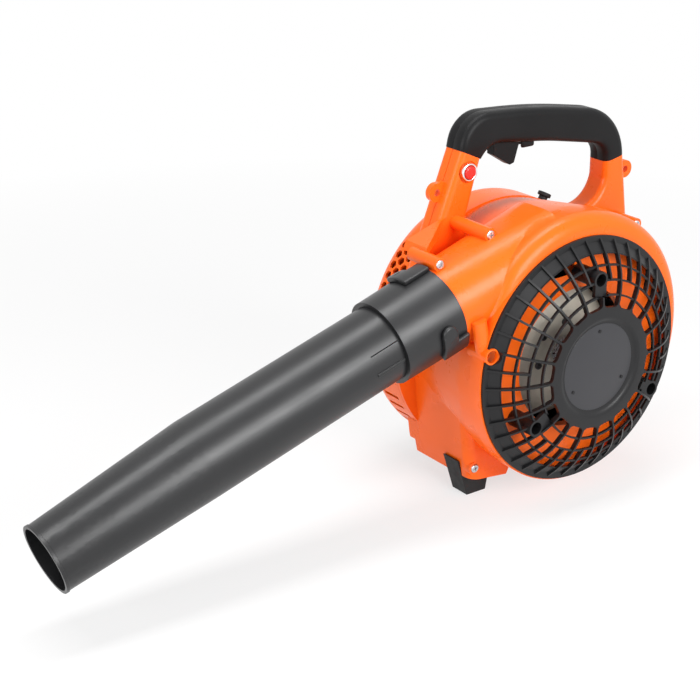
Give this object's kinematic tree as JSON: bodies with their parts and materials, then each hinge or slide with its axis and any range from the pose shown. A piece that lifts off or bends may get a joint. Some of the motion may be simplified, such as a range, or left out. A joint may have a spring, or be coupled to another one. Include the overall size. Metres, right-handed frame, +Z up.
{
  "type": "leaf blower",
  "caption": "Hand-held petrol leaf blower: scroll fan case with a domed intake grille, loop handle with throttle trigger, engine on the far side and a long blow pipe.",
  "frame": {"origin": "centre of the bounding box at ground level", "axes": "+Z up, the blow pipe points to -X, the fan axis lies along Y with the intake grille facing -Y and the engine on +Y"},
  "size_m": [0.6971, 0.2234, 0.3629],
  "materials": {
    "orange_plastic": "glossy moulded plastic",
    "pipe_plastic": "satin moulded plastic",
    "grip_plastic": "fine grained matt plastic",
    "black_plastic": "satin moulded plastic",
    "red_plastic": "gloss",
    "steel": "zinc plated",
    "bright_ring": "chrome plated",
    "alloy": "as cast",
    "rubber": "matt",
    "tank_plastic": "translucent blow moulded",
    "foam": "open cell foam",
    "rope": "braided"
  },
  "bodies": {
    "housing": {"fan_case": "orange_plastic", "back_frame": "orange_plastic", "engine_cover": "orange_plastic", "grip_right": "grip_plastic", "grip_left": "grip_plastic", "intake_grille": "black_plastic", "starter_housing": "black_plastic", "filter_base": "black_plastic", "filter_cover": "black_plastic", "ignition_coil": "black_plastic", "trigger_pin": "steel", "grille_screws": "steel", "case_screws": "steel", "muffler": "steel", "front_bearing": "steel", "rear_bearing": "steel", "spark_plug": "steel", "stop_ring": "bright_ring", "crankcase": "alloy", "cylinder": "alloy", "carburettor": "alloy", "plug_boot": "rubber", "front_foot": "rubber", "rear_foot": "rubber", "stand": "black_plastic", "fuel_tank": "tank_plastic", "filter_foam": "foam"},
    "rotor": {"fan_wheel": "black_plastic", "fan_plate": "alloy", "plate_screws": "steel", "crankshaft": "steel", "fan_nut": "steel", "flywheel": "alloy"},
    "trigger": {"throttle_trigger": "grip_plastic"},
    "stop_switch": {"stop_button": "red_plastic"},
    "pipe": {"pipe_collar": "pipe_plastic", "blow_pipe": "pipe_plastic"},
    "pulley": {"starter_pulley": "black_plastic"},
    "pull_handle": {"starter_grip": "grip_plastic", "starter_rope": "rope"},
    "tank_cap": {"fuel_cap": "black_plastic"},
    "choke": {"choke_lever": "grip_plastic"},
    "primer": {"primer_bulb": "rubber"}
  },
  "joints": [
    {"name": "rotor_spin", "type": "hinge", "parent": "housing", "child": "rotor", "pos_m": [0.19057, -0.03225, 0.14], "axis": [0, 1, 0], "continuous": true},
    {"name": "trigger_squeeze", "type": "hinge", "parent": "housing", "child": "trigger", "pos_m": [0.16856, 0.02275, 0.343], "axis": [0, -1, 0], "range_deg": [0, 16], "stiffness_Nm_per_rad": 0.5, "springref_deg": -11.46},
    {"name": "stop_press", "type": "slide", "parent": "housing", "child": "stop_switch", "axis": [0, 1, 0], "range_m": [0, 0.0025], "stiffness_N_per_m": 800, "springref_m": -0.001},
    {"name": "pipe_twist", "type": "hinge", "parent": "housing", "child": "pipe", "pos_m": [0.19057, -0.03225, 0.2461], "axis": [-0.954, 0, -0.2997], "range_deg": [0, 24]},
    {"name": "starter_pull", "type": "slide", "parent": "housing", "child": "pull_handle", "axis": [0, 0, 1], "range_m": [0, 0.6], "stiffness_N_per_m": 12, "springref_m": -0.4, "deforming": ["starter_rope"]},
    {"name": "pulley_turn", "type": "hinge", "parent": "housing", "child": "pulley", "pos_m": [0.19057, 0.10015, 0.14], "axis": [0, -1, 0], "range_deg": [0, 1323.21]},
    {"name": "cap_turn", "type": "hinge", "parent": "housing", "child": "tank_cap", "pos_m": [0.18687, 0.08375, 0.03406], "axis": [0, -1, 0], "range_deg": [0, 270]},
    {"name": "choke_turn", "type": "hinge", "parent": "housing", "child": "choke", "pos_m": [0.30256, 0.08475, 0.118], "axis": [0, -1, 0], "range_deg": [0, 60]},
    {"name": "primer_press", "type": "slide", "parent": "housing", "child": "primer", "axis": [-1, 0, 0], "range_m": [0, 0.004], "stiffness_N_per_m": 500, "springref_m": -0.001}
  ],
  "couplings": [
    {"joint": "pulley_turn", "follows": "starter_pull", "rad_per_m": 38.462}
  ]
}
